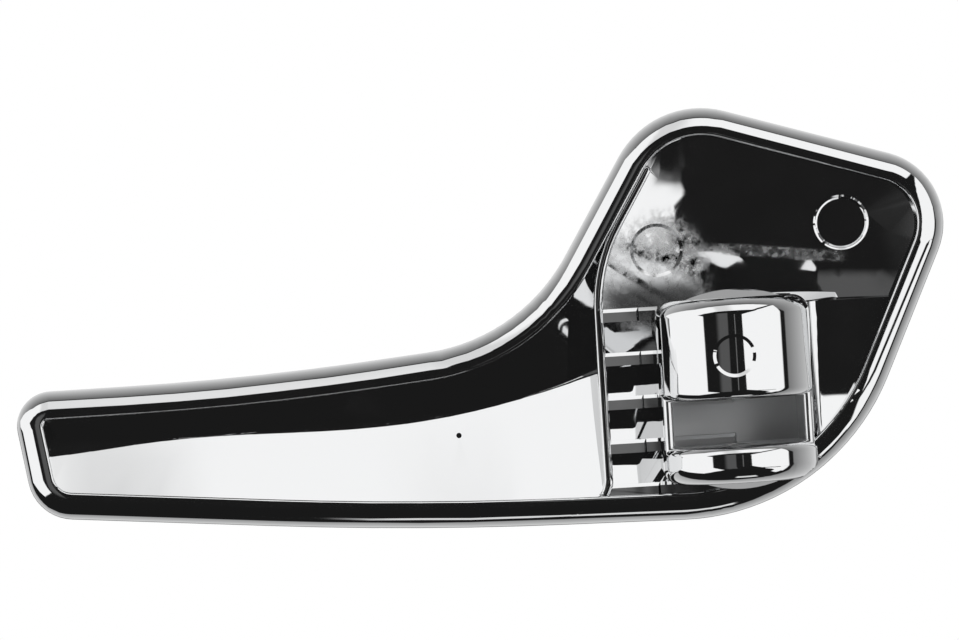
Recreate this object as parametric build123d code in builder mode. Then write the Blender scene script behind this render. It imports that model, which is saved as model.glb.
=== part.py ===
# Interior door lever: one plated plastic moulding, open on its door side.
# X runs along the grip, with the tip at -X. Z is the pivot axis. +Y is the cabin side.
# The origin is the middle of the pivot bore. Depths are measured from the rim towards +Y.
import os
from collections import namedtuple
from math import acos, asin, cos, degrees, radians, sin, sqrt, tan

from build123d import *

# Outline of the grip, seen from the door side
tip_x = -94.3
tip_top = 5.5
tip_top_radius = 4.5
tip_bottom = -10.9
tip_bottom_x = -91.8
tip_bottom_radius = 6.0
upper_bow_x = -62.8
upper_bow_z = 5.6
upper_bow_radius = 400.0
lower_bow_x = -41.8
lower_bow_z = -15.6
lower_bow_radius = 520.0

# Outline of the neck and the head
neck_x = -27.3
neck_z = 8.6
neck_radius = 24.5
head_left_x = -8.1
head_left_z = 39.6
head_left_radius = 12.2
head_right_x = 32.4
head_right_z = 26.6
head_right_radius = 9.5
heel_x = 12.0
heel_z = -16.6
heel_radius = 29.8

# Rim and shell
rim_y = 4.0
rim_radius = 3.15
lip_width = 3.6
lip_edge_width = 0.3
lip_edge_slope = 45.0
front_edge_width = 1.5
form_depth = 16.0
form_reach = 40.0
form_back = -40.0
form_overrun = 3.0

# Channel and head floor: a crease with a facet above it and one below it
Floor = namedtuple("Floor", "x crease_z depth upper_slope lower_slope crease_radius")
floor_stations = [
    Floor(tip_x - form_overrun, -1.8, 2.3, 24.0, 29.0, 0.6),
    Floor(-77.0, -1.75, 3.2, 31.0, 18.0, 0.7),
    Floor(-57.0, -1.5, 4.0, 33.0, 18.0, 0.8),
    Floor(-37.0, -0.6, 4.8, 32.0, 18.0, 0.9),
    Floor(-18.5, 3.5, 6.6, 18.0, 18.5, 1.5),
    Floor(0.0, 10.0, 9.3, 10.5, 10.5, 15.0),
    Floor(18.0, 12.0, 8.0, 10.0, 10.0, 20.0),
    Floor(head_right_x + form_overrun, 13.0, 5.3, 10.0, 10.0, 20.0),
]

# Cabin side: a crowned skin
Crown = namedtuple("Crown", "x z depth radius")
crown_stations = [
    Crown(tip_x - form_overrun, -2.7, 5.7, 60.0),
    Crown(-77.0, -3.5, 6.4, 52.0),
    Crown(-57.0, -4.2, 7.0, 48.0),
    Crown(-37.0, -3.5, 7.8, 48.0),
    Crown(-18.5, 3.5, 9.6, 55.0),
    Crown(0.0, 10.0, 12.0, 75.0),
    Crown(18.0, 12.0, 10.8, 75.0),
    Crown(head_right_x + form_overrun, 13.0, 8.4, 75.0),
]

# End wall of the channel
wall_thickness = 1.2
wall_edge_width = 0.4
wall_drop = 0.3
wall_end_x = -9.6
wall_end_z = 29.6
wall_bend_x = -17.0
wall_bend_z = 17.5
wall_bend_radius = 22.0
wall_foot_z = -12.6
wall_foot_radius = 3.3
wall_tail_x = -21.5
wall_tail_z = -14.4

# Cross ribs between the end wall and the hinge block
rib_count = 5
rib_pitch = 5.7
rib_first_z = 10.9
rib_thickness = 1.7
rib_bevel_width = 0.45
rib_bevel_depth = 0.2
rib_end_bevel = 0.3
rib_drop = 0.6
rib_shoulder_x = -11.8
rib_shoulder_drop = 2.1
last_rib_shoulder_x = -10.3

# Hinge block: two half-round knuckles with arched webs, cheeks beside the gap, and the pivot bore
knuckle_radius = 10.0
knuckle_top = 12.3
knuckle_bottom = -11.4
knuckle_round = 2.2
knuckle_bevel = 1.2
gap_top = -0.7
gap_bottom = -6.6
upper_web_width = 12.2
upper_web_rise = 1.1
lower_web_width = 9.6
lower_web_rise = 0.9
web_front_y = -4.0
web_slope = 53.0
cheek_thickness = 1.6
cheek_inset = 0.25
cheek_round = 0.6
bore_diameter = 5.0

# Shelf between the hinge block and the rim
shelf_step_z = 11.2
shelf_depth = 5.2
shelf_edge_depth = 0.8
shelf_radius = 40.0
shelf_centre_z = 9.0
shelf_step_slope = 6.0
shelf_root_radius = 1.7
gusset_slope = 30.0
gusset_offset = 1.8
gusset_start_x = 5.9
gusset_end_x = 14.4

# How far the roots of the inner works stay inside the shell's outer faces
root_cover = 0.8
root_inset = 1.2

# Marks that the mould leaves
mark_depth = 0.25
floor_mark_x = -8.8
floor_mark_z = 19.1
floor_mark_diameter = 7.0
ring_mark_x = 15.6
ring_mark_z = 21.3
ring_mark_diameter = 7.2
ring_mark_width = 0.5
ring_mark_depth = 0.13
knuckle_mark_x = -0.4
knuckle_mark_z = 4.9
knuckle_mark_diameter = 5.5
vent_x = -36.1
vent_z = -3.5
vent_diameter = 0.7
vent_bottom_depth = 5.0

outline_corners = [
    (tip_x, tip_top),
    (upper_bow_x, upper_bow_z),
    (neck_x, neck_z),
    (head_left_x, head_left_z),
    (head_right_x, head_right_z),
    (heel_x, heel_z),
    (lower_bow_x, lower_bow_z),
    (tip_bottom_x, tip_bottom),
]
outline_radii = [
    tip_top_radius,
    upper_bow_radius,
    neck_radius,
    head_left_radius,
    head_right_radius,
    heel_radius,
    lower_bow_radius,
    tip_bottom_radius,
]


def outline_face(y, inset=0.0):
    """The lever's outline at a height y, drawn in by inset."""
    with BuildSketch(Plane.XZ.offset(-y)) as outline:
        with BuildLine():
            FilletPolyline(*outline_corners, radius=outline_radii, close=True)
        make_face()
        if inset:
            offset(amount=-inset)
    return outline.sketch


def floor_section(station):
    """Y-Z section of the space behind the floor: two facets that meet in a rounded crease."""
    crease_y = rim_y + station.depth
    top = station.crease_z + form_reach
    bottom = station.crease_z - form_reach
    upper = (crease_y - form_reach * tan(radians(station.upper_slope)), top)
    lower = (crease_y - form_reach * tan(radians(station.lower_slope)), bottom)
    with BuildSketch(Plane.YZ.offset(station.x)) as section:
        with BuildLine():
            FilletPolyline(upper, (crease_y, station.crease_z), lower, radius=station.crease_radius)
            Polyline(lower, (form_back, bottom), (form_back, top), upper)
        make_face()
    return section.sketch


def crown_section(station):
    """Y-Z section of the space behind the crowned cabin skin."""
    crown_y = rim_y + station.depth
    edge_y = crown_y - station.radius + sqrt(station.radius**2 - form_reach**2)
    top = station.z + form_reach
    bottom = station.z - form_reach
    with BuildSketch(Plane.YZ.offset(station.x)) as section:
        with BuildLine():
            ThreePointArc((edge_y, top), (crown_y, station.z), (edge_y, bottom))
            Polyline((edge_y, bottom), (form_back, bottom), (form_back, top), (edge_y, top))
        make_face()
    return section.sketch


# Space behind the floor
with BuildPart() as floor_form:
    loft([floor_section(station) for station in floor_stations])

# Space behind the cabin skin
with BuildPart() as crown_form:
    loft([crown_section(station) for station in crown_stations])

# Blank: the outline with a round rim behind and the crowned skin with a bevelled edge in front
with BuildPart() as blank:
    extrude(outline_face(rim_y), amount=-form_depth)
    fillet(blank.faces().sort_by(Axis.Y)[0].edges(), radius=rim_radius)
    add(crown_form.part, mode=Mode.INTERSECT)
    chamfer(blank.faces().sort_by(Axis.Y)[-1].edges(), length=front_edge_width)

# Hollow: what is open towards the door, with a bevelled edge at the lip
with BuildPart() as hollow:
    extrude(outline_face(rim_y, lip_width), amount=-form_depth)
    extrude(outline_face(rim_y, lip_width), amount=form_overrun)
    extrude(outline_face(rim_y + lip_edge_width, lip_width), amount=lip_edge_width, taper=-lip_edge_slope)
    add(floor_form.part, mode=Mode.INTERSECT)

# End wall: a thin wall with a bevelled edge that closes the channel and runs on beside the rim
with BuildPart() as end_wall:
    with BuildSketch(Plane.XZ.offset(-rim_y - wall_drop)):
        with BuildLine():
            FilletPolyline(
                (wall_end_x, wall_end_z),
                (wall_bend_x, wall_bend_z),
                (wall_bend_x, wall_foot_z),
                (wall_tail_x, wall_tail_z),
                radius=[wall_bend_radius, wall_foot_radius],
            )
            offset(amount=wall_thickness / 2)
        make_face()
    extrude(amount=-form_depth)
    chamfer(end_wall.faces().sort_by(Axis.Y)[0].edges(), length=wall_edge_width)


def rib_bar(z, drop, start_x, end_x):
    """A bar across the channel at a height z, with a bevel along its upper edge."""
    low = z - rib_thickness / 2
    high = z + rib_thickness / 2
    top_y = rim_y + drop
    back_y = rim_y + form_depth
    with BuildPart() as piece:
        with BuildSketch(Plane.YZ.offset(start_x)):
            with BuildLine():
                Polyline(
                    (top_y, low),
                    (top_y, high - rib_bevel_width),
                    (top_y + rib_bevel_depth, high),
                    (back_y, high),
                    (back_y, low),
                    close=True,
                )
            make_face()
        extrude(amount=end_x - start_x)
        crest = piece.faces().sort_by(Axis.Y)[0]
        chamfer(crest.edges().sort_by(Axis.X)[-1], length=rib_end_bevel)
    return piece.part


# Cross ribs, lower where they meet the hinge block; the last one reaches further
with BuildPart() as ribs:
    for index in range(rib_count):
        rib_z = rib_first_z - rib_pitch * index
        shoulder_x = rib_shoulder_x if index < rib_count - 1 else last_rib_shoulder_x
        add(rib_bar(rib_z, rib_drop, wall_bend_x, shoulder_x))
        add(rib_bar(rib_z, rib_shoulder_drop, wall_bend_x, 0))


def half_round(z, radius):
    """X-Y section of the hinge block: a half-round back on straight flanks."""
    front_y = rim_y + form_depth
    with BuildSketch(Plane.XY.offset(z)) as section:
        with BuildLine():
            ThreePointArc((-radius, 0), (0, -radius), (radius, 0))
            Polyline((radius, 0), (radius, front_y), (-radius, front_y), (-radius, 0))
        make_face()
    return section.sketch


def knuckle(gap_z, end_z):
    """A half-round knuckle from its bevelled face at the gap to its rounded end."""
    with BuildPart() as piece:
        extrude(half_round(gap_z, knuckle_radius), amount=end_z - gap_z)
        end_face = piece.faces().filter_by_position(Axis.Z, end_z, end_z)[0]
        fillet(end_face.edges().sort_by(Axis.Y)[:-1], radius=knuckle_round)
        gap_face = piece.faces().filter_by_position(Axis.Z, gap_z, gap_z)[0]
        chamfer(gap_face.edges().sort_by(Axis.Y)[:-1], length=knuckle_bevel)
    return piece.part


def web(end_z, width, rise):
    """A low arched web with a sloped front on one end of the hinge block, from the end at end_z."""
    top_z = end_z + rise
    root_z = end_z - rise
    back_y = rim_y + form_depth
    slope_y = web_front_y + abs(rise) * tan(radians(web_slope))
    left = -width / 2
    right = width / 2
    with BuildPart() as piece:
        with BuildSketch(Plane.XZ.offset(-web_front_y)):
            with BuildLine():
                ThreePointArc((left, end_z), (0, top_z), (right, end_z))
                Polyline((right, end_z), (right, root_z), (left, root_z), (left, end_z))
            make_face()
        extrude(amount=web_front_y - back_y)
        with BuildSketch(Plane.YZ):
            with BuildLine():
                Polyline(
                    (web_front_y, end_z),
                    (slope_y, top_z),
                    (back_y, top_z),
                    (back_y, root_z),
                    (web_front_y, root_z),
                    close=True,
                )
            make_face()
        extrude(amount=width, both=True, mode=Mode.INTERSECT)
    return piece.part


# Cheeks: the walls on both sides of the gap between the knuckles
with BuildPart() as cheeks:
    cheek_height = gap_top - gap_bottom + 2 * knuckle_round
    extrude(half_round(gap_bottom - knuckle_round, knuckle_radius - cheek_inset), amount=cheek_height)
    with BuildSketch(Plane.XZ):
        with Locations((0, (gap_top + gap_bottom) / 2)):
            Rectangle(2 * (knuckle_radius - cheek_thickness), 2 * knuckle_radius)
    extrude(amount=2 * form_depth, both=True, mode=Mode.SUBTRACT)
    fillet(cheeks.edges().filter_by(Axis.Z).group_by(Axis.Y)[0], radius=cheek_round)

# Shelf: a hollowed step that rises to the lip below, with a sloped gusset at the head floor
with BuildPart() as shelf:
    arc_centre_y = rim_y + shelf_depth - shelf_radius
    start_angle = -degrees(acos((rim_y + shelf_edge_depth - arc_centre_y) / shelf_radius))
    end_angle = degrees(asin((shelf_step_z - shelf_centre_z) / shelf_radius))
    step_slope = tan(radians(shelf_step_slope))
    shelf_start_x = knuckle_radius - cheek_thickness / 2
    with BuildSketch(Plane.YZ.offset(shelf_start_x)):
        with BuildLine():
            arc_centre = (arc_centre_y, shelf_centre_z)
            surface = CenterArc(arc_centre, shelf_radius, start_angle, end_angle - start_angle)
            Polyline(
                surface @ 1,
                surface @ 1 + (form_depth, form_depth * step_slope),
                (rim_y + 2 * form_depth, heel_z),
                (rim_y + shelf_edge_depth, heel_z),
                surface @ 0,
            )
        make_face()
    extrude(amount=head_right_x)
    gusset_foot = surface @ 1 + (gusset_offset, gusset_offset * step_slope)
    with BuildSketch(Plane.YZ.offset(gusset_start_x)):
        with BuildLine():
            Polyline(
                gusset_foot,
                gusset_foot + (form_depth, form_depth * tan(radians(gusset_slope))),
                gusset_foot + (form_depth, 0),
                close=True,
            )
        make_face()
    extrude(amount=gusset_end_x - gusset_start_x)

# Root of the hinge block on the shelf: a hollow round that follows the shelf's curve
with BuildPart() as shelf_root:
    shelf_axis = Axis((0, arc_centre_y, shelf_centre_z), (1, 0, 0))
    lowest = radians(start_angle)
    root_plane = Plane(shelf_axis.position, x_dir=(1, 0, 0), z_dir=(0, -sin(lowest), cos(lowest)))
    crest = shelf_radius - shelf_root_radius
    with BuildSketch(root_plane):
        with BuildLine():
            root_arc = CenterArc((knuckle_radius + shelf_root_radius, crest), shelf_root_radius, 90, 90)
            Polyline(root_arc @ 1, (shelf_start_x, crest), (shelf_start_x, shelf_radius), root_arc @ 0)
        make_face()
    revolve(axis=shelf_axis, revolution_arc=end_angle - start_angle)

# Inner works, rooted in the shell
root_form = Pos(0, -root_cover, 0) * crown_form.part
with BuildPart() as works:
    add(end_wall.part)
    add(ribs.part)
    add(shelf.part)
    add(shelf_root.part)
    add(cheeks.part)
    add(knuckle(gap_top, knuckle_top))
    add(knuckle(gap_bottom, knuckle_bottom))
    add(web(knuckle_top, upper_web_width, upper_web_rise))
    add(web(knuckle_bottom, lower_web_width, -lower_web_rise))
    add(root_form, mode=Mode.INTERSECT)
    extrude(outline_face(rim_y, root_inset), amount=2 * form_depth, both=True, mode=Mode.INTERSECT)

# Pin mark on the head floor
pin_form = Pos(0, mark_depth, 0) * floor_form.part
with BuildPart() as floor_mark:
    with BuildSketch(Plane.XZ):
        with Locations((floor_mark_x, floor_mark_z)):
            Circle(floor_mark_diameter / 2)
    extrude(amount=-2 * form_depth)
    add(pin_form, mode=Mode.INTERSECT)

# Ring mark on the head floor
ring_form = Pos(0, ring_mark_depth, 0) * floor_form.part
with BuildPart() as ring_mark:
    with BuildSketch(Plane.XZ):
        with Locations((ring_mark_x, ring_mark_z)):
            Circle(ring_mark_diameter / 2)
            Circle(ring_mark_diameter / 2 - ring_mark_width, mode=Mode.SUBTRACT)
    extrude(amount=-2 * form_depth)
    add(ring_form, mode=Mode.INTERSECT)

# Pin mark on the upper knuckle
with BuildPart() as knuckle_mark:
    with BuildSketch(Plane.XZ):
        with Locations((knuckle_mark_x, knuckle_mark_z)):
            Circle(knuckle_mark_diameter / 2)
    extrude(amount=2 * knuckle_radius)
    Cylinder(knuckle_radius - mark_depth, 4 * knuckle_radius, mode=Mode.SUBTRACT)

# Lever: the blank hollowed out, with the inner works, the bore and the marks
with BuildPart() as lever:
    add(blank.part)
    add(hollow.part, mode=Mode.SUBTRACT)
    add(works.part)
    Cylinder(bore_diameter / 2, 4 * knuckle_radius, mode=Mode.SUBTRACT)
    add(floor_mark.part, mode=Mode.SUBTRACT)
    add(ring_mark.part, mode=Mode.SUBTRACT)
    add(knuckle_mark.part, mode=Mode.SUBTRACT)
    with BuildSketch(Plane.XZ.offset(-rim_y - vent_bottom_depth)):
        with Locations((vent_x, vent_z)):
            Circle(vent_diameter / 2)
    extrude(amount=vent_bottom_depth, mode=Mode.SUBTRACT)

lever.part.label = "lever"
os.makedirs("parts", exist_ok=True)
export_step(lever.part, "parts/lever.step")
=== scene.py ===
import math
from collections import namedtuple
from contextlib import contextmanager

import bmesh
import bpy
import numpy
from bpy.props import FloatProperty, FloatVectorProperty, IntProperty, PointerProperty
from mathutils import Matrix, Vector


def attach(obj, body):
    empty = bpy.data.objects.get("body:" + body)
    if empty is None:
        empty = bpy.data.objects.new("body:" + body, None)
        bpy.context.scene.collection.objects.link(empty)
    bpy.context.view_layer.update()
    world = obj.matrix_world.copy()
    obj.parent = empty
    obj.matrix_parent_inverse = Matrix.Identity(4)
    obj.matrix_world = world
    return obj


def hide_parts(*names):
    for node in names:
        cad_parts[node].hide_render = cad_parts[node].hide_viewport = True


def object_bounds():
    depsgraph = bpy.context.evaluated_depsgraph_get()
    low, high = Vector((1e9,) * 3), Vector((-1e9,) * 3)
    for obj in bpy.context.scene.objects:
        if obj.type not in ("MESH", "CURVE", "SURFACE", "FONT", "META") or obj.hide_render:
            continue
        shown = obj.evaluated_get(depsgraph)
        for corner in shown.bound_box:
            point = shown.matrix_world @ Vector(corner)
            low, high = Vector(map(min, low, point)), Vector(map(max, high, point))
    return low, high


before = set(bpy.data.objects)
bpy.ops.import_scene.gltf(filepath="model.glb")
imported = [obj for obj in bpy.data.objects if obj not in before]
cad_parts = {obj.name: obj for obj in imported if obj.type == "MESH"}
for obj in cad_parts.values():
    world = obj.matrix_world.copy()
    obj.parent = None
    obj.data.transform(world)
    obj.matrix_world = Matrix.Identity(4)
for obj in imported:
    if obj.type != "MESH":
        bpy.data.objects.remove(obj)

bl_info = {
    "name": "Plated door lever",
    "version": (1, 0, 0),
    "blender": (4, 5, 0),
    "location": "View3D > Sidebar > Lever",
    "description": "Chrome skin, studio and camera for a moulded interior door lever",
    "category": "Object",
}

CAD_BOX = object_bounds()
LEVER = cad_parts["lever"]
MM = 0.001

# How near a point counts as being at the border of some faces, and as lying on a knuckle's round
BORDER_SLACK = 0.02 * MM
ROUND_SLACK = 0.01 * MM

# Points nearer than these become one: before the bevels are rounded, and once the tail is laid flat
SAME_POINT = 0.001 * MM
FLATTENED_POINT = 0.0005 * MM

# Round marks of the moulding: where they are, and their outer and inner radius
Mark = namedtuple("Mark", "x z radius inner_radius")
FLOOR_MARK = Mark(-8.8 * MM, 19.1 * MM, 3.5 * MM, 0.0)
RING_MARK = Mark(15.6 * MM, 21.3 * MM, 3.6 * MM, 3.1 * MM)
KNUCKLE_MARK = Mark(-0.4 * MM, 4.9 * MM, 2.75 * MM, 0.0)
MARKS = (FLOOR_MARK, RING_MARK, KNUCKLE_MARK)

# Faces of a mark whose normals lean to the front or back by less than this are its wall
STEEP_WALL = 0.5

# Kinds of bevels: strips and the knuckles' bevels are rounded, the cabin side's and the ribs' stay crisp
STRIP_BEVEL = 1
KNUCKLE_BEVEL = 2
CRISP_BEVEL = 3

# How much the normal of each kind of bevel leans, and how deep the bevel of a rib is at most
ROUNDED_LEAN = (0.5, 0.85)
CABIN_LEAN = (0.35, 0.9)
RIB_LEAN = (0.38, 0.43)
RIB_BEVEL_DEPTH = 0.3 * MM

# Curve of a rounded bevel: how full it is, and the least turn between its ends that gives it a direction
ROUND_FULLNESS = 1.17
LEAST_TURN = 0.05

# Rounds of the knuckles: cuts across each bevel, share of it that is its very edge, least match of normals
KNUCKLE_CUTS = 3
EDGE_SHARE = 0.01
KNUCKLE_MATCH = 0.94

# Tail of the end wall: its reach along the lower rim, and the line of the rim's outer edge there
Tail = namedtuple("Tail", "start_x end_x rim_z rim_slope")
TAIL = Tail(-23.0 * MM, -18.5 * MM, -16.377 * MM, -0.01859)

# Satin in the gap: half width and onset as shares of the knuckles' radius, end at the floor, and soft border
SATIN_HALF_WIDTH = 0.87
SATIN_ONSET = (-0.7, -0.4)
SATIN_END = (13.3 * MM, 12.9 * MM)
SATIN_BORDER = 0.15 * MM

# Dull streak across the head floor, with the shares of its length and width that are fully dull
Streak = namedtuple("Streak", "x z slope half_length half_width core_length core_width")
STREAK = Streak(7.3 * MM, 17.9 * MM, -0.12, 9.5 * MM, 1.0 * MM, 0.8, 0.5)

# Mottled patch: share that is fully dull, the floor's slope and depth there, its painted shade and where that
# sets in
PATCH_CORE = 0.6
HEAD_FLOOR_SLOPE = 0.1
HEAD_FLOOR_DEPTH = (12.8 * MM, 12.4 * MM)
PATCH_SHADE = 0.3
PATCH_SHADE_ONSET = 3.0 * MM

# Grain of the mottled patch and of the faint haze on the plating, in grains for each metre
SPECKLE_GRAIN = 900.0
SPECKLE_RANGE = (0.25, 0.75)
HAZE_GRAIN = 220.0
HAZE_RANGE = (0.3, 0.7)
HAZE_SHARES = (0.6, 1.4)

# Panels that the chrome reflects, as shares of their distance: lower and upper edge, half width and soft
# border; foot and lean slant the lower and upper edge
Panel = namedtuple("Panel", "low high half_width border foot lean", defaults=(0.0, 0.0))
TOP_BOX = Panel(0.38, 1.85, 1.0, 0.04)
LEFT_BOX = Panel(-0.564, 0.728, 0.875, 0.03, foot=1.145, lean=-1.36)
RIGHT_BOX = Panel(0.287, 4.7, 0.9, 0.1, lean=5.1)
HEEL_BOX = Panel(0.24, 0.47, 0.3, 0.02)
STRIP = Panel(0.13, 0.33, 0.175, 0.02)
GLOW = Panel(0.16, 0.45, 0.25, 0.08)
CARD = Panel(0.01, 0.033, 0.06, 0.003)

# How far the left box is lifted, the heel box turned down and the strip turned aside; the strip's brightness
LEFT_LIFT = 0.175
HEEL_TURN = 0.65
STRIP_TURN = 0.08
STRIP_SHARE = 0.75

# Dimmer part of the top box: how much dimmer, and its soft ends from left to right
TOP_FADE = 0.27
TOP_FADE_START = (-0.45, -0.3)
TOP_FADE_END = (0.04, -0.16)

# Dark slot across the right box: its soft lower and upper edge
SLOT_LOW = (-0.327, -0.315)
SLOT_HIGH = (-0.25, -0.27)

# Table behind the lever: its near and far angle from the camera's side, and how bright it is there
TABLE_ANGLES = (math.radians(72.0), math.radians(150.0))
TABLE_GREYS = (0.13, 0.75)

# The table's near edge: its soft border, how far back it lies below the horizon, and its slant to the right
TABLE_BORDER = math.radians(3.0)
TABLE_HORIZON = (0.5, -0.1)
TABLE_SETBACK = math.radians(26.0)
TABLE_SKEW = math.radians(-16.5)

# Shade far back on the table, in its lower half
SHADE_FAR = (math.radians(146.0), math.radians(158.0))
SHADE_BELOW = (0.08, -0.02)
SHADE_SHARE = 0.8

# A panel shows only to rays that go its way: the least distance to it, and how soon it shows in full
LEAST_DISTANCE = 0.001
PANEL_ONSET = 0.02

# The lower edge of a panel is crisper than its other borders
LOWER_BORDER_SHARE = 0.25

# Floor of the stage: corners of its rim, and the shares of its radius between which it fades out
STAGE_FLOOR_CORNERS = 96
STAGE_FLOOR_FADE = (0.5, 0.95)

SENSOR_WIDTH = 36.0
WHITE = (1.0, 1.0, 1.0, 1.0)


# Settings that a user would change

class LeverSkinSettings(bpy.types.PropertyGroup):
    """Where the narrow bevels of the moulding are, and how they are rounded."""

    rim_y: FloatProperty(
        name="Rim",
        description="Distance of the flat lip from the pivot axis, towards the cabin",
        default=4.0 * MM,
        subtype="DISTANCE",
        unit="LENGTH",
    )
    rim_radius: FloatProperty(
        name="Rim radius",
        description="Radius of the round along the lever's outer edge",
        default=3.15 * MM,
        subtype="DISTANCE",
        unit="LENGTH",
    )
    lip_bevel: FloatProperty(
        name="Lip bevel",
        description="Width of the bevel round the inside of the lip",
        default=0.3 * MM,
        subtype="DISTANCE",
        unit="LENGTH",
    )
    wall_drop: FloatProperty(
        name="Wall drop",
        description="How far the end wall stays below the lip",
        default=0.3 * MM,
        subtype="DISTANCE",
        unit="LENGTH",
    )
    wall_bevel: FloatProperty(
        name="Wall bevel",
        description="Width of the bevel on the end wall",
        default=0.4 * MM,
        subtype="DISTANCE",
        unit="LENGTH",
    )
    gap_top: FloatProperty(
        name="Gap top",
        description="Height of the upper knuckle's face at the gap",
        default=-0.7 * MM,
        subtype="DISTANCE",
        unit="LENGTH",
    )
    gap_bottom: FloatProperty(
        name="Gap bottom",
        description="Height of the lower knuckle's face at the gap",
        default=-6.6 * MM,
        subtype="DISTANCE",
        unit="LENGTH",
    )
    knuckle_bevel: FloatProperty(
        name="Knuckle bevel",
        description="Width of the bevel on the knuckles at the gap",
        default=1.2 * MM,
        subtype="DISTANCE",
        unit="LENGTH",
    )
    knuckle_radius: FloatProperty(
        name="Knuckle radius",
        description="Radius of the half-round knuckles about the pivot axis",
        default=10.0 * MM,
        subtype="DISTANCE",
        unit="LENGTH",
    )
    mark_slope: FloatProperty(
        name="Mark slope",
        description="Width of the sloped wall round each pin mark",
        default=0.42 * MM,
        subtype="DISTANCE",
        unit="LENGTH",
    )
    ring_bottom: FloatProperty(
        name="Ring bottom",
        description="Share of the ring mark's width that stays flat at its bottom",
        default=0.1,
        min=0.0,
        max=1.0,
        subtype="FACTOR",
    )
    round_steps: IntProperty(
        name="Round steps",
        description="Facets across each bevel once it is rounded",
        default=5,
        min=2,
        max=12,
    )
    smooth_angle: FloatProperty(
        name="Smooth angle",
        description="Edges that turn by less than this are shaded as one surface",
        default=math.radians(32.0),
        subtype="ANGLE",
        unit="ROTATION",
    )


class PlatingSettings(bpy.types.PropertyGroup):
    """The bright chrome plating."""

    colour: FloatVectorProperty(
        name="Colour",
        description="Colour of the chrome seen straight on",
        default=(0.80, 0.805, 0.81),
        size=3,
        min=0.0,
        max=1.0,
        subtype="COLOR",
    )
    roughness: FloatProperty(
        name="Roughness",
        description="How soft the plating's reflections are",
        default=0.035,
        min=0.0,
        max=1.0,
        subtype="FACTOR",
    )
    gap_roughness: FloatProperty(
        name="Gap roughness",
        description="How soft the reflections are deep in the gap, where the plating is thin",
        default=0.3,
        min=0.0,
        max=1.0,
        subtype="FACTOR",
    )
    dull_centre: FloatVectorProperty(
        name="Dull centre",
        description="Middle of the mottled patch on the head floor",
        default=(-10.0 * MM, 12.0 * MM, 16.5 * MM),
        size=3,
        subtype="TRANSLATION",
        unit="LENGTH",
    )
    dull_radius: FloatProperty(
        name="Dull radius",
        description="How far the mottled patch reaches",
        default=10.0 * MM,
        subtype="DISTANCE",
        unit="LENGTH",
    )
    dull_roughness: FloatProperty(
        name="Dull roughness",
        description="How soft the reflections are in the mottled patch",
        default=0.35,
        min=0.0,
        max=1.0,
        subtype="FACTOR",
    )
    wave_length: FloatProperty(
        name="Wave length",
        description="Length of the slight waves that the moulding gives the plating",
        default=4.0 * MM,
        subtype="DISTANCE",
        unit="LENGTH",
    )
    wave_height: FloatProperty(
        name="Wave height",
        description="Height of those waves",
        default=0.004 * MM,
        subtype="DISTANCE",
        unit="LENGTH",
    )


class StudioSettings(bpy.types.PropertyGroup):
    """Camera, floor and light tent."""

    view_centre: FloatVectorProperty(
        name="View centre",
        description="Point of the lever in the middle of the picture",
        default=(-32.5 * MM, 7.0 * MM, 11.4 * MM),
        size=3,
        subtype="TRANSLATION",
        unit="LENGTH",
    )
    view_width: FloatProperty(
        name="View width",
        description="Width of the picture at the view centre",
        default=125.1 * MM,
        subtype="DISTANCE",
        unit="LENGTH",
    )
    camera_distance: FloatProperty(
        name="Camera distance",
        description="From the camera to the view centre",
        default=650.0 * MM,
        subtype="DISTANCE",
        unit="LENGTH",
    )
    camera_roll: FloatProperty(
        name="Camera roll",
        description="How far the lever is turned in the picture",
        default=math.radians(3.5),
        subtype="ANGLE",
        unit="ROTATION",
    )
    softbox_strength: FloatProperty(
        name="Softbox strength",
        description="Brightness of the tent's panels in the chrome",
        default=1.1,
        min=0.0,
    )
    glow_strength: FloatProperty(
        name="Glow strength",
        description="Brightness of the dim wall to the left of the camera",
        default=0.09,
        min=0.0,
    )
    card_strength: FloatProperty(
        name="Card strength",
        description="Brightness of the grey card beside the camera, seen in the tops of the ribs",
        default=0.15,
        min=0.0,
    )
    room_strength: FloatProperty(
        name="Room strength",
        description="Brightness of the dark room round the camera",
        default=0.012,
        min=0.0,
    )
    floor_colour: FloatVectorProperty(
        name="Floor colour",
        description="Colour of the pale floor",
        default=(0.9, 0.9, 0.9),
        size=3,
        min=0.0,
        max=1.0,
        subtype="COLOR",
    )
    floor_drop: FloatProperty(
        name="Floor drop",
        description="How far the floor lies below the lever",
        default=85.0 * MM,
        subtype="DISTANCE",
        unit="LENGTH",
    )
    floor_radius: FloatProperty(
        name="Floor radius",
        description="Radius of the floor before it fades out",
        default=300.0 * MM,
        subtype="DISTANCE",
        unit="LENGTH",
    )


# Node helpers

def feed(tree, socket, value):
    """Links an output to an input, or sets the input to a plain value."""
    if isinstance(value, bpy.types.NodeSocket):
        tree.links.new(value, socket)
    else:
        socket.default_value = value


def new_node(tree, kind, **values):
    """A shader node with some of its inputs fed; an underscore in a name stands for a space."""
    node = tree.nodes.new(kind)
    for name, value in values.items():
        feed(tree, node.inputs[name.replace("_", " ")], value)
    return node


def math_node(tree, operation, first, *others):
    """Output of a math node, or of a chain of them that takes in more values one by one."""
    for other in others or (None,):
        node = tree.nodes.new("ShaderNodeMath")
        node.operation = operation
        feed(tree, node.inputs[0], first)
        if other is not None:
            feed(tree, node.inputs[1], other)
        first = node.outputs[0]
    return first


def map_range(tree, value, source, target, interpolation="LINEAR"):
    """Output that runs between the two target values while the value runs between the two source values."""
    node = new_node(tree, "ShaderNodeMapRange", Value=value, From_Min=source[0], From_Max=source[1])
    node.inputs["To Min"].default_value = target[0]
    node.inputs["To Max"].default_value = target[1]
    node.interpolation_type = interpolation
    return node.outputs["Result"]


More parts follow.
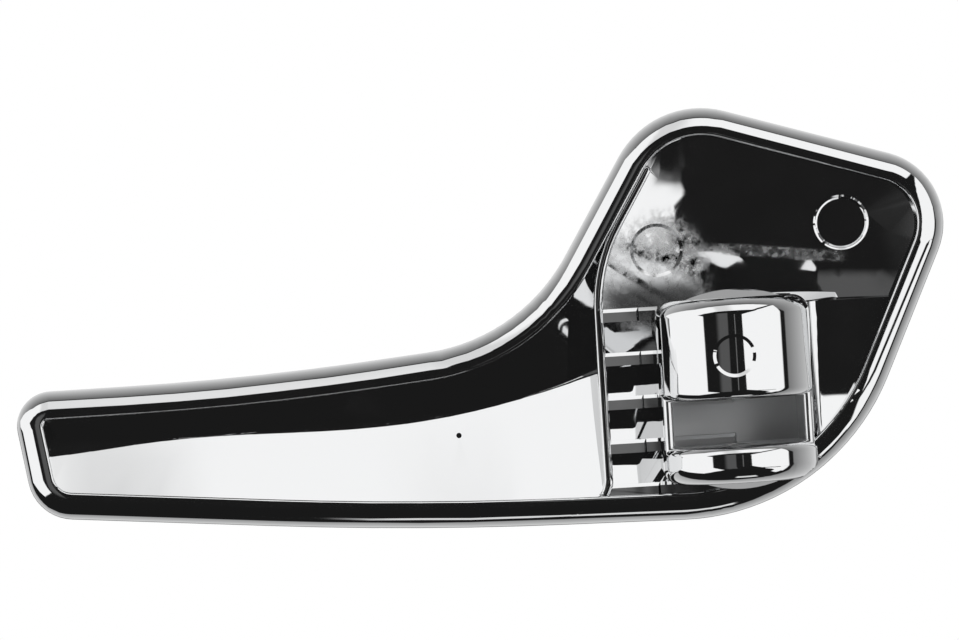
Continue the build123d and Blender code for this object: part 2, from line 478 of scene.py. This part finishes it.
def smooth_step(tree, value, low, high):
    """Output that rises smoothly from 0 at low to 1 at high; low may be the larger."""
    target = (0.0, 1.0) if low < high else (1.0, 0.0)
    return map_range(tree, value, sorted((low, high)), target, "SMOOTHSTEP")


def mix_shaders(tree, output, share, first, second):
    """Shows a mix of two shaders: the first where share is 0 and the second where it is 1."""
    mix = tree.nodes.new("ShaderNodeMixShader")
    for socket, value in zip(mix.inputs, (share, first.outputs[0], second.outputs[0])):
        feed(tree, socket, value)
    tree.links.new(mix.outputs[0], output.inputs["Surface"])


# Mesh helpers

@contextmanager
def reshaping(mesh):
    """A form of the mesh to work on, which is put back into the mesh at the end."""
    form = bmesh.new()
    form.from_mesh(mesh)
    try:
        yield form
        form.to_mesh(mesh)
    finally:
        form.free()


def unique(elements):
    """The elements without repeats, in the order in which they come."""
    return list(dict.fromkeys(elements))


def between(value, limits):
    """Whether a value lies between two limits."""
    return limits[0] < value < limits[1]


def cut_to_triangles(form):
    """Cuts all faces that have more than three corners."""
    bmesh.ops.triangulate(form, faces=[face for face in form.faces if len(face.verts) > 3])


# The chrome skin

def face_islands(mesh):
    """Groups of faces that share points: one group for each face of the moulding's surface."""
    parent = list(range(len(mesh.vertices)))

    def root(index):
        while parent[index] != index:
            parent[index] = parent[parent[index]]
            index = parent[index]
        return index

    for edge in mesh.edges:
        parent[root(edge.vertices[0])] = root(edge.vertices[1])
    groups = {}
    for polygon in mesh.polygons:
        groups.setdefault(root(polygon.vertices[0]), []).append(polygon)
    return groups.values()


def bevel_kind(mesh, polygons, settings):
    """What kind of bevel a group of faces is, or 0 for any other faces."""
    points = [mesh.vertices[index].co for polygon in polygons for index in polygon.vertices]
    low = Vector([min(point[axis] for point in points) for axis in range(3)])
    high = Vector([max(point[axis] for point in points) for axis in range(3)])
    area = sum(polygon.area for polygon in polygons)
    normal = sum((polygon.normal * polygon.area for polygon in polygons), Vector())
    slope_y = normal.y / area
    slope_z = normal.z / area

    def within(axis, start, end):
        return low[axis] > start - BORDER_SLACK and high[axis] < end + BORDER_SLACK

    wall_y = settings.rim_y + settings.wall_drop
    upper_end = settings.gap_top + settings.knuckle_bevel
    lower_end = settings.gap_bottom - settings.knuckle_bevel
    leans_back = between(-slope_y, ROUNDED_LEAN)
    lip = leans_back and within(1, settings.rim_y, settings.rim_y + settings.lip_bevel)
    wall = leans_back and within(1, wall_y, wall_y + settings.wall_bevel)
    upper = between(-slope_z, ROUNDED_LEAN) and within(2, settings.gap_top, upper_end)
    lower = between(slope_z, ROUNDED_LEAN) and within(2, lower_end, settings.gap_bottom)
    if upper or lower:
        return KNUCKLE_BEVEL
    if lip or wall:
        return STRIP_BEVEL
    cabin = between(slope_y, CABIN_LEAN)
    rib = between(slope_z, RIB_LEAN) and high.y - low.y < RIB_BEVEL_DEPTH
    return CRISP_BEVEL if cabin or rib else 0


def mark_number(mesh, polygons):
    """Which mark a group of faces belongs to: above zero for its sunk face, below zero for its wall."""
    points = [mesh.vertices[index].co for polygon in polygons for index in polygon.vertices]
    for number, mark in enumerate(MARKS, start=1):
        reach = [math.hypot(point.x - mark.x, point.z - mark.z) for point in points]
        if max(reach) > mark.radius + BORDER_SLACK or min(reach) < mark.inner_radius - BORDER_SLACK:
            continue
        if max(abs(polygon.normal.y) for polygon in polygons) < STEEP_WALL:
            return -number
        if max(reach) > mark.radius - BORDER_SLACK:
            return number
    return 0


def number_faces(mesh, settings):
    """Notes in two attributes of the mesh which bevel and which mark each face belongs to."""
    bevels = [0] * len(mesh.polygons)
    marks = [0] * len(mesh.polygons)
    for group in face_islands(mesh):
        bevel = bevel_kind(mesh, group, settings)
        number = mark_number(mesh, group)
        for polygon in group:
            bevels[polygon.index] = bevel
            marks[polygon.index] = number
    if not {STRIP_BEVEL, KNUCKLE_BEVEL, CRISP_BEVEL} <= set(bevels):
        raise RuntimeError("a bevel of the moulding was not found")
    mesh.attributes.new("bevel", "INT", "FACE").data.foreach_set("value", bevels)
    mesh.attributes.new("mark", "INT", "FACE").data.foreach_set("value", marks)


def arc_points(start, end, start_normal, end_normal, steps):
    """Points between two ends on a curve that leaves and arrives square to the normals."""
    chord = end - start
    axis = start_normal.cross(end_normal)
    drift = chord.project(axis) if axis.length > LEAST_TURN else Vector()
    across = chord - drift
    reach = ROUND_FULLNESS * across.length
    leave = across - start_normal * across.dot(start_normal)
    arrive = across - end_normal * across.dot(end_normal)
    leave = leave.normalized() * reach
    arrive = arrive.normalized() * reach
    points = []
    for step in range(1, steps):
        t = step / steps
        points.append(
            start
            + drift * t
            + across * (3 * t**2 - 2 * t**3)
            + leave * (t**3 - 2 * t**2 + t)
            + arrive * (t**3 - t**2)
        )
    return points


def bevel_patches(face, across):
    """Corner lists of the faces that replace one triangle of a bevel."""
    corners = [loop.vert for loop in face.loops]
    edges = [loop.edge for loop in face.loops]

    def path(index):
        first, last = corners[index], corners[(index + 1) % 3]
        start, middle = across[edges[index]]
        return [first, *(middle if start == first else reversed(middle)), last]

    crossing = [index for index in range(3) if edges[index] in across]
    if len(crossing) == 2:
        border = ({0, 1, 2} - set(crossing)).pop()
        to_first = path((border + 2) % 3)
        to_last = path((border + 1) % 3)[::-1]
        patches = [[to_first[0], to_first[1], to_last[1]]]
        for index in range(1, len(to_first) - 1):
            patches.append([to_first[index], to_first[index + 1], to_last[index + 1], to_last[index]])
        return patches
    if len(crossing) == 1:
        tip = corners[(crossing[0] + 2) % 3]
        steps = path(crossing[0])
        return [[tip, first, last] for first, last in zip(steps, steps[1:])]
    if len(crossing) == 3:
        return [path(0)[:-1] + path(1)[:-1] + path(2)[:-1]]
    return [corners]


def round_strips(mesh, steps):
    """Turns each plain bevel into a round that runs smoothly into its neighbours."""
    with reshaping(mesh) as form:
        layer = form.faces.layers.int.get("bevel")
        bevels = [face for face in form.faces if face[layer] == STRIP_BEVEL]
        normals = {}
        for face in bevels:
            for corner in face.verts:
                others = [other for other in corner.link_faces if other[layer] != STRIP_BEVEL]
                total = sum((other.normal * other.calc_area() for other in others), Vector())
                normals[corner] = total.normalized() if total.length else face.normal.copy()
        across = {}
        for edge in unique(edge for face in bevels for edge in face.edges):
            if len(edge.link_faces) == 2 and all(face[layer] == STRIP_BEVEL for face in edge.link_faces):
                start, end = edge.verts
                places = arc_points(start.co, end.co, normals[start], normals[end], steps)
                across[edge] = (start, [form.verts.new(place) for place in places])
        patches = [patch for face in bevels for patch in bevel_patches(face, across)]
        bmesh.ops.delete(form, geom=bevels, context="FACES_ONLY")
        for edge in across:
            form.edges.remove(edge)
        made = [form.faces.new(patch) for patch in patches]
        bmesh.ops.triangulate(form, faces=made)


def gap_face(side, settings):
    """Height of a knuckle's face at the gap; side is 1 above the gap and -1 below it."""
    return settings.gap_top if side > 0 else settings.gap_bottom


def knuckle_outward(place):
    """Direction from the knuckles' core to a point: round on the door side, sideways on the cabin side."""
    return Vector((place.x, min(place.y, 0.0), 0.0)).normalized()


def round_offset(place, side, settings):
    """Offset of a point from the core of a knuckle's round at the gap."""
    core = knuckle_outward(place) * (settings.knuckle_radius - settings.knuckle_bevel)
    core += Vector((0.0, max(place.y, 0.0), gap_face(side, settings) + side * settings.knuckle_bevel))
    return place - core


def round_knuckles(mesh, settings):
    """Turns the bevels of the knuckles at the gap into exact rounds."""
    size = settings.knuckle_bevel
    gap_middle = (settings.gap_top + settings.gap_bottom) / 2
    with reshaping(mesh) as form:
        layer = form.faces.layers.int.get("bevel")
        bevels = [face for face in form.faces if face[layer] == KNUCKLE_BEVEL]
        edges = unique(edge for face in bevels for edge in face.edges)
        bmesh.ops.subdivide_edges(form, edges=edges, cuts=KNUCKLE_CUTS, use_grid_fill=True)
        bevels = [face for face in form.faces if face[layer] == KNUCKLE_BEVEL]
        for corner in unique(corner for face in bevels for corner in face.verts):
            side = 1 if corner.co.z > gap_middle else -1
            gap_z = gap_face(side, settings)
            share = side * (corner.co.z - gap_z) / size
            border = any(face[layer] != KNUCKLE_BEVEL for face in corner.link_faces)
            if border and EDGE_SHARE < share < 1.0 - EDGE_SHARE:
                continue
            turn = (1.0 - share) * math.pi / 2
            radius = settings.knuckle_radius - size + size * math.cos(turn)
            z = gap_z + side * size * (1.0 - math.sin(turn))
            corner.co = knuckle_outward(corner.co) * radius + Vector((0.0, max(corner.co.y, 0.0), z))
        cut_to_triangles(form)


def draw_in(corners, mark, settings):
    """Moves the corners of a mark's sunk face inwards, along that face."""
    places = numpy.array([corner.co for corner in corners])
    terms = numpy.column_stack((places[:, 0], places[:, 2], numpy.ones(len(corners))))
    lean_x, lean_z, _ = numpy.linalg.lstsq(terms, places[:, 1], rcond=None)[0]
    barrel_radius = numpy.hypot(places[:, 0], places[:, 1]).mean()
    middle = (mark.radius + mark.inner_radius) / 2
    for corner in corners:
        offset = Vector((corner.co.x - mark.x, 0.0, corner.co.z - mark.z))
        radius = offset.length * (1.0 - settings.mark_slope / mark.radius)
        if mark.inner_radius:
            radius = middle + settings.ring_bottom * (offset.length - middle)
        place = Vector((mark.x, 0.0, mark.z)) + offset.normalized() * radius
        place.y = corner.co.y + lean_x * (place.x - corner.co.x) + lean_z * (place.z - corner.co.z)
        if mark == KNUCKLE_MARK:
            place.y = -math.sqrt(barrel_radius**2 - place.x**2)
        corner.co = place


def slope_marks(mesh, settings):
    """Draws the sunk face of each mark in, so that its wall slopes and catches the light."""
    with reshaping(mesh) as form:
        layer = form.faces.layers.int.get("mark")
        for edge in form.edges:
            if len({face[layer] for face in edge.link_faces}) > 1:
                edge.smooth = False
        for number, mark in enumerate(MARKS, start=1):
            corners = unique(corner for face in form.faces if face[layer] == number for corner in face.verts)
            if not corners:
                raise RuntimeError("a mark of the moulding was not found")
            draw_in(corners, mark, settings)


def sink_tail(mesh, settings):
    """Lays the tail of the end wall onto the rim's round, where it would stand out of it."""
    radius = settings.rim_radius
    with reshaping(mesh) as form:
        for corner in form.verts:
            inward = corner.co.z - (TAIL.rim_z + TAIL.rim_slope * corner.co.x)
            if not (TAIL.start_x < corner.co.x < TAIL.end_x and 0.0 < inward < radius):
                continue
            drop = radius - math.sqrt(radius**2 - (radius - inward) ** 2)
            if corner.co.y < settings.rim_y + drop:
                corner.co.y = settings.rim_y + drop
        bmesh.ops.dissolve_degenerate(form, dist=FLATTENED_POINT, edges=form.edges)
        cut_to_triangles(form)


def keep_crisp(mesh):
    """Marks the edges of the crisp bevels as sharp."""
    with reshaping(mesh) as form:
        layer = form.faces.layers.int.get("bevel")
        for edge in form.edges:
            kinds = {face[layer] for face in edge.link_faces}
            if CRISP_BEVEL in kinds and len(kinds) > 1:
                edge.smooth = False


def knuckle_normal(place, settings):
    """Exact normal of the knuckles' round backs and gap rounds at a point, or None elsewhere."""
    if place.y > settings.rim_y:
        return None
    for side in (1, -1):
        offset = round_offset(place, side, settings)
        if abs(offset.length - settings.knuckle_bevel) < ROUND_SLACK:
            return offset.normalized()
    if place.y < 0.0 and abs(math.hypot(place.x, place.y) - settings.knuckle_radius) < ROUND_SLACK:
        return Vector((place.x, place.y, 0.0)).normalized()
    return None


def true_knuckles(mesh, settings):
    """Gives the knuckles' round backs and their rounds at the gap the exact normals."""
    normals = [corner.vector.copy() for corner in mesh.corner_normals]
    exact = [knuckle_normal(vertex.co, settings) for vertex in mesh.vertices]
    for polygon in mesh.polygons:
        for index in polygon.loop_indices:
            normal = exact[mesh.loops[index].vertex_index]
            if normal and polygon.normal.dot(normal) > KNUCKLE_MATCH:
                normals[index] = normal
    mesh.normals_split_custom_set(normals)


# The plating

def gap_mask(tree, place, skin):
    """1 deep in the gap between the knuckles, and 0 elsewhere."""
    parts = new_node(tree, "ShaderNodeSeparateXYZ", Vector=place).outputs
    aside = math_node(tree, "ABSOLUTE", parts["X"])
    half_width = SATIN_HALF_WIDTH * skin.knuckle_radius
    onset = [share * skin.knuckle_radius for share in SATIN_ONSET]
    inside = smooth_step(tree, aside, half_width, half_width - SATIN_BORDER)
    below = smooth_step(tree, parts["Z"], skin.gap_top + SATIN_BORDER, skin.gap_top)
    above = smooth_step(tree, parts["Z"], skin.gap_bottom - SATIN_BORDER, skin.gap_bottom)
    short = smooth_step(tree, parts["Y"], *SATIN_END)
    deep = smooth_step(tree, parts["Y"], *onset)
    return math_node(tree, "MULTIPLY", inside, below, above, short, deep)


def streak_mask(tree, parts):
    """1 on the dull streak across the head floor, and 0 elsewhere."""
    along = math_node(tree, "SUBTRACT", parts["X"], STREAK.x)
    rise = math_node(tree, "MULTIPLY", along, STREAK.slope)
    line = math_node(tree, "ABSOLUTE", math_node(tree, "SUBTRACT", parts["Z"], STREAK.z, rise))
    reach = math_node(tree, "ABSOLUTE", along)
    width = smooth_step(tree, line, STREAK.half_width, STREAK.core_width * STREAK.half_width)
    length = smooth_step(tree, reach, STREAK.half_length, STREAK.core_length * STREAK.half_length)
    return math_node(tree, "MULTIPLY", width, length)


def dull_and_shade_masks(tree, place, settings):
    """Mottled patch and streak on the head floor: how dull the plating is there, and where painted shade
    darkens it.
    """
    parts = new_node(tree, "ShaderNodeSeparateXYZ", Vector=place).outputs
    offset = tree.nodes.new("ShaderNodeVectorMath")
    offset.operation = "DISTANCE"
    feed(tree, offset.inputs[0], place)
    feed(tree, offset.inputs[1], settings.dull_centre)
    radius = settings.dull_radius
    patch = smooth_step(tree, offset.outputs["Value"], radius, PATCH_CORE * radius)
    depth = math_node(tree, "SUBTRACT", parts["Y"], math_node(tree, "MULTIPLY", parts["X"], HEAD_FLOOR_SLOPE))
    floor_side = smooth_step(tree, depth, *HEAD_FLOOR_DEPTH)
    mottle = new_node(tree, "ShaderNodeTexNoise", Vector=place, Scale=SPECKLE_GRAIN)
    mottle.inputs["Detail"].default_value = 4.0
    mottle.inputs["Roughness"].default_value = 0.65
    speckle = smooth_step(tree, mottle.outputs["Fac"], *SPECKLE_RANGE)
    either = math_node(tree, "MAXIMUM", patch, streak_mask(tree, parts))
    dull = math_node(tree, "MULTIPLY", either, floor_side, speckle)
    # Painted shade: the plating's colour darkens below the patch's middle, on the deep floor
    middle_z = settings.dull_centre[2]
    low = smooth_step(tree, parts["Z"], middle_z, middle_z - PATCH_SHADE_ONSET)
    dark = math_node(tree, "MULTIPLY", patch, floor_side, low)
    return dull, dark


def plating_material(settings, skin):
    """Bright chrome with slight waves, satin in the gap and in a mottled patch on the head floor, with
    painted shade in the patch's lower half.
    """
    material = bpy.data.materials.new("bright_chrome")
    material.use_nodes = True
    tree = material.node_tree
    shader = tree.nodes["Principled BSDF"]
    shader.inputs["Metallic"].default_value = 1.0
    place = tree.nodes.new("ShaderNodeTexCoord").outputs["Object"]
    dull, dark = dull_and_shade_masks(tree, place, settings)

    # Base colour: the chrome's own colour, darkened by the painted shade in the patch's lower half
    colour = tree.nodes.new("ShaderNodeMix")
    colour.data_type = "RGBA"
    feed(tree, colour.inputs["Factor"], dark)
    feed(tree, colour.inputs["A"], (*settings.colour, 1.0))
    feed(tree, colour.inputs["B"], (*(PATCH_SHADE * part for part in settings.colour), 1.0))
    tree.links.new(colour.outputs["Result"], shader.inputs["Base Color"])

    waves = new_node(tree, "ShaderNodeTexNoise", Vector=place, Scale=1.0 / settings.wave_length, Detail=1.0)
    bump = new_node(tree, "ShaderNodeBump", Height=waves.outputs["Fac"], Strength=1.0)
    bump.inputs["Distance"].default_value = settings.wave_height
    tree.links.new(bump.outputs["Normal"], shader.inputs["Normal"])

    haze = new_node(tree, "ShaderNodeTexNoise", Vector=place, Scale=HAZE_GRAIN, Detail=3.0)
    hazy = [share * settings.roughness for share in HAZE_SHARES]
    spread = map_range(tree, haze.outputs["Fac"], HAZE_RANGE, hazy)
    satin = math_node(tree, "MULTIPLY", gap_mask(tree, place, skin), settings.gap_roughness)
    rough = math_node(tree, "MULTIPLY", dull, settings.dull_roughness)
    roughness = math_node(tree, "ADD", spread, satin, rough)
    tree.links.new(roughness, shader.inputs["Roughness"])
    return material


class LEVER_OT_skin(bpy.types.Operator):
    """Makes the plated skin of the lever from the moulding's own surface"""

    bl_idname = "lever.skin"
    bl_label = "Plated skin"

    def execute(self, context):
        settings = context.scene.lever_skin
        bpy.ops.object.select_all(action="DESELECT")
        mesh = LEVER.data.copy()
        mesh.name = "lever_skin"
        number_faces(mesh, settings)
        skin = bpy.data.objects.new("lever_skin", mesh)
        context.scene.collection.objects.link(skin)
        skin.select_set(True)
        context.view_layer.objects.active = skin
        bpy.ops.mesh.customdata_custom_splitnormals_clear()
        bpy.ops.object.mode_set(mode="EDIT")
        bpy.ops.mesh.select_all(action="SELECT")
        bpy.ops.mesh.remove_doubles(threshold=SAME_POINT)
        bpy.ops.object.mode_set(mode="OBJECT")

        round_strips(mesh, settings.round_steps)
        round_knuckles(mesh, settings)
        slope_marks(mesh, settings)
        sink_tail(mesh, settings)
        keep_crisp(mesh)
        bpy.ops.object.shade_smooth_by_angle(angle=settings.smooth_angle)
        for name in ("bevel", "mark"):
            mesh.attributes.remove(mesh.attributes[name])
        weigh = skin.modifiers.new("Weighted normals", "WEIGHTED_NORMAL")
        weigh.mode = "FACE_AREA"
        weigh.keep_sharp = True
        bpy.ops.object.modifier_apply(modifier=weigh.name)
        true_knuckles(mesh, settings)

        mesh.materials.clear()
        mesh.materials.append(plating_material(context.scene.plating, settings))
        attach(skin, "root")
        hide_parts("lever")
        return {"FINISHED"}


# The stage

# How much a ray goes each way, as seen from the camera
Ways = namedtuple("Ways", "left right down up table camera")


def panel_mask(tree, panel, toward, across, height):
    """1 where a ray meets a panel that lies toward one way and spreads across another, and 0 elsewhere."""
    distance = math_node(tree, "MAXIMUM", toward, LEAST_DISTANCE)
    level = math_node(tree, "DIVIDE", height, distance)
    aside = math_node(tree, "ABSOLUTE", math_node(tree, "DIVIDE", across, distance))
    lower = math_node(tree, "SUBTRACT", level, math_node(tree, "MULTIPLY", aside, panel.foot))
    upper = math_node(tree, "ADD", level, math_node(tree, "MULTIPLY", aside, panel.lean))
    crisp = LOWER_BORDER_SHARE * panel.border
    rise = smooth_step(tree, lower, panel.low - crisp, panel.low + crisp)
    fall = smooth_step(tree, upper, panel.high + panel.border, panel.high - panel.border)
    sides = smooth_step(tree, aside, panel.half_width + panel.border, panel.half_width - panel.border)
    front = smooth_step(tree, toward, 0.0, PANEL_ONSET)
    return math_node(tree, "MULTIPLY", rise, fall, sides, front)


def top_box(tree, ways):
    """Softbox above the lever, a little dimmer to the left of its middle."""
    box = panel_mask(tree, TOP_BOX, ways.up, ways.right, ways.camera)
    fade = math_node(tree, "MULTIPLY", smooth_step(tree, ways.right, *TOP_FADE_END), TOP_FADE)
    fade = math_node(tree, "MULTIPLY", fade, smooth_step(tree, ways.right, *TOP_FADE_START))
    return math_node(tree, "MULTIPLY", box, math_node(tree, "SUBTRACT", 1.0, fade))


def left_box(tree, ways):
    """Softbox beyond the grip's tip, with slanted edges."""
    lifted = math_node(tree, "SUBTRACT", ways.up, math_node(tree, "MULTIPLY", ways.left, LEFT_LIFT))
    return panel_mask(tree, LEFT_BOX, ways.left, lifted, ways.camera)


def right_box(tree, ways):
    """Softbox beyond the head, with a dark slot across it."""
    box = panel_mask(tree, RIGHT_BOX, ways.right, ways.up, ways.camera)
    low = smooth_step(tree, ways.up, *SLOT_LOW)
    high = smooth_step(tree, ways.up, *SLOT_HIGH)
    slot = math_node(tree, "MULTIPLY", low, high)
    return math_node(tree, "MULTIPLY", box, math_node(tree, "SUBTRACT", 1.0, slot))


def heel_box(tree, ways):
    """Small softbox below and to the right of the lever."""
    sunk = math_node(tree, "ADD", ways.right, math_node(tree, "MULTIPLY", ways.down, HEEL_TURN))
    beside = math_node(tree, "SUBTRACT", math_node(tree, "MULTIPLY", ways.right, HEEL_TURN), ways.down)
    return panel_mask(tree, HEEL_BOX, sunk, beside, ways.camera)


def strip_light(tree, ways):
    """Dimmer strip below the lever."""
    turned = math_node(tree, "SUBTRACT", ways.right, math_node(tree, "MULTIPLY", ways.down, STRIP_TURN))
    strip = panel_mask(tree, STRIP, ways.down, turned, ways.camera)
    return math_node(tree, "MULTIPLY", strip, STRIP_SHARE)


def table_grey(tree, ways):
    """Brightness of the table behind the lever: darker at its edges and, far back, in its lower half."""
    angle = math_node(tree, "ARCCOSINE", math_node(tree, "MULTIPLY", ways.table, -1.0))
    grey = map_range(tree, angle, TABLE_ANGLES, TABLE_GREYS)
    horizon = smooth_step(tree, ways.up, *TABLE_HORIZON)
    skew = math_node(tree, "MULTIPLY", ways.right, TABLE_SKEW)
    setback = math_node(tree, "MULTIPLY", horizon, math_node(tree, "ADD", skew, TABLE_SETBACK))
    start = math_node(tree, "ADD", setback, TABLE_ANGLES[0])
    beyond = smooth_step(tree, math_node(tree, "SUBTRACT", angle, start), 0.0, TABLE_BORDER)
    far = smooth_step(tree, angle, *SHADE_FAR)
    below = smooth_step(tree, ways.up, *SHADE_BELOW)
    shade = math_node(tree, "MULTIPLY", far, below, SHADE_SHARE)
    beyond = math_node(tree, "MULTIPLY", beyond, math_node(tree, "SUBTRACT", 1.0, shade))
    return math_node(tree, "MULTIPLY", grey, beyond)


def light_tent(world, settings):
    """White to the camera; in the chrome, a dark room with bright panels, a dim wall, a card and a table."""
    world.use_nodes = True
    tree = world.node_tree
    tree.nodes.clear()
    output = tree.nodes.new("ShaderNodeOutputWorld")
    direction = tree.nodes.new("ShaderNodeTexCoord").outputs["Generated"]
    parts = new_node(tree, "ShaderNodeSeparateXYZ", Vector=direction).outputs
    left, camera, down = (math_node(tree, "MULTIPLY", parts[axis], -1.0) for axis in "XYZ")
    ways = Ways(left, parts["X"], down, parts["Z"], parts["Y"], camera)

    boxes = [make(tree, ways) for make in (left_box, right_box, heel_box, top_box, strip_light)]
    light = math_node(tree, "MULTIPLY", math_node(tree, "MAXIMUM", *boxes), settings.softbox_strength)
    light = math_node(tree, "MAXIMUM", light, table_grey(tree, ways))
    glow = panel_mask(tree, GLOW, ways.camera, ways.up, ways.left)
    glow = math_node(tree, "MULTIPLY", glow, settings.glow_strength)
    card = panel_mask(tree, CARD, ways.camera, ways.up, ways.right)
    card = math_node(tree, "MULTIPLY", card, settings.card_strength)
    total = math_node(tree, "ADD", light, math_node(tree, "ADD", glow, card), settings.room_strength)

    glossy = tree.nodes.new("ShaderNodeLightPath").outputs["Is Glossy Ray"]
    others = new_node(tree, "ShaderNodeBackground", Color=WHITE, Strength=1.0)
    studio = new_node(tree, "ShaderNodeBackground", Color=WHITE, Strength=total)
    mix_shaders(tree, output, glossy, others, studio)


def floor_material(settings):
    """Pale floor that fades out at its rim and leaves the chrome to the tent."""
    material = bpy.data.materials.new("pale_floor")
    material.use_nodes = True
    tree = material.node_tree
    tree.nodes.clear()
    output = tree.nodes.new("ShaderNodeOutputMaterial")
    reach = tree.nodes.new("ShaderNodeVectorMath")
    reach.operation = "LENGTH"
    tree.links.new(tree.nodes.new("ShaderNodeTexCoord").outputs["Object"], reach.inputs[0])
    limits = [share * settings.floor_radius for share in STAGE_FLOOR_FADE]
    fade = smooth_step(tree, reach.outputs["Value"], *limits)
    glossy = tree.nodes.new("ShaderNodeLightPath").outputs["Is Glossy Ray"]
    clear = math_node(tree, "MAXIMUM", fade, glossy)
    pale = new_node(tree, "ShaderNodeBsdfDiffuse", Color=(*settings.floor_colour, 1.0))
    open_air = tree.nodes.new("ShaderNodeBsdfTransparent")
    mix_shaders(tree, output, clear, pale, open_air)
    return material


def add_camera(scene, settings):
    """Camera that looks straight at the lever's open side."""
    lens = bpy.data.cameras.new("camera")
    lens.sensor_width = SENSOR_WIDTH
    lens.lens = lens.sensor_width * settings.camera_distance / settings.view_width
    camera = bpy.data.objects.new("camera", lens)
    scene.collection.objects.link(camera)
    place = Vector(settings.view_centre) - Vector((0.0, settings.camera_distance, 0.0))
    turn = Matrix.Rotation(settings.camera_roll, 4, "Y") @ Matrix.Rotation(math.radians(90.0), 4, "X")
    camera.matrix_world = Matrix.Translation(place) @ turn
    scene.camera = camera


def add_floor(context, settings):
    """Round floor below the lever."""
    middle = (CAD_BOX[0] + CAD_BOX[1]) / 2
    bpy.ops.mesh.primitive_circle_add(
        vertices=STAGE_FLOOR_CORNERS,
        radius=settings.floor_radius,
        fill_type="NGON",
        location=(middle.x, middle.y, CAD_BOX[0].z - settings.floor_drop),
    )
    floor = context.active_object
    floor.name = "floor"
    floor.data.materials.append(floor_material(settings))


class LEVER_OT_stage(bpy.types.Operator):
    """Makes the camera, the pale floor and the light tent"""

    bl_idname = "lever.stage"
    bl_label = "Stage"

    def execute(self, context):
        settings = context.scene.studio
        scene = context.scene
        bpy.ops.object.select_all(action="DESELECT")
        add_camera(scene, settings)
        add_floor(context, settings)
        scene.world = bpy.data.worlds.new("light_tent")
        light_tent(scene.world, settings)
        scene.view_settings.view_transform = "Standard"
        return {"FINISHED"}


class LEVER_PT_sidebar(bpy.types.Panel):
    """Lists the steps that make the lever and its stage"""

    bl_idname = "LEVER_PT_sidebar"
    bl_label = "Plated door lever"
    bl_space_type = "VIEW_3D"
    bl_region_type = "UI"
    bl_category = "Lever"

    def draw(self, context):
        for operator in STEPS:
            self.layout.operator(operator.bl_idname)
        for group in ("lever_skin", "plating", "studio"):
            settings = getattr(context.scene, group)
            box = self.layout.box()
            for name in settings.__annotations__:
                box.prop(settings, name)


STEPS = (LEVER_OT_skin, LEVER_OT_stage)
CLASSES = (LeverSkinSettings, PlatingSettings, StudioSettings, *STEPS, LEVER_PT_sidebar)


def register():
    for each in CLASSES:
        bpy.utils.register_class(each)
    bpy.types.Scene.lever_skin = PointerProperty(type=LeverSkinSettings)
    bpy.types.Scene.plating = PointerProperty(type=PlatingSettings)
    bpy.types.Scene.studio = PointerProperty(type=StudioSettings)


def unregister():
    del bpy.types.Scene.studio
    del bpy.types.Scene.plating
    del bpy.types.Scene.lever_skin
    for each in reversed(CLASSES):
        bpy.utils.unregister_class(each)


def main():
    register()
    bpy.ops.lever.skin()
    bpy.ops.lever.stage()


if __name__ == "__main__":
    main()
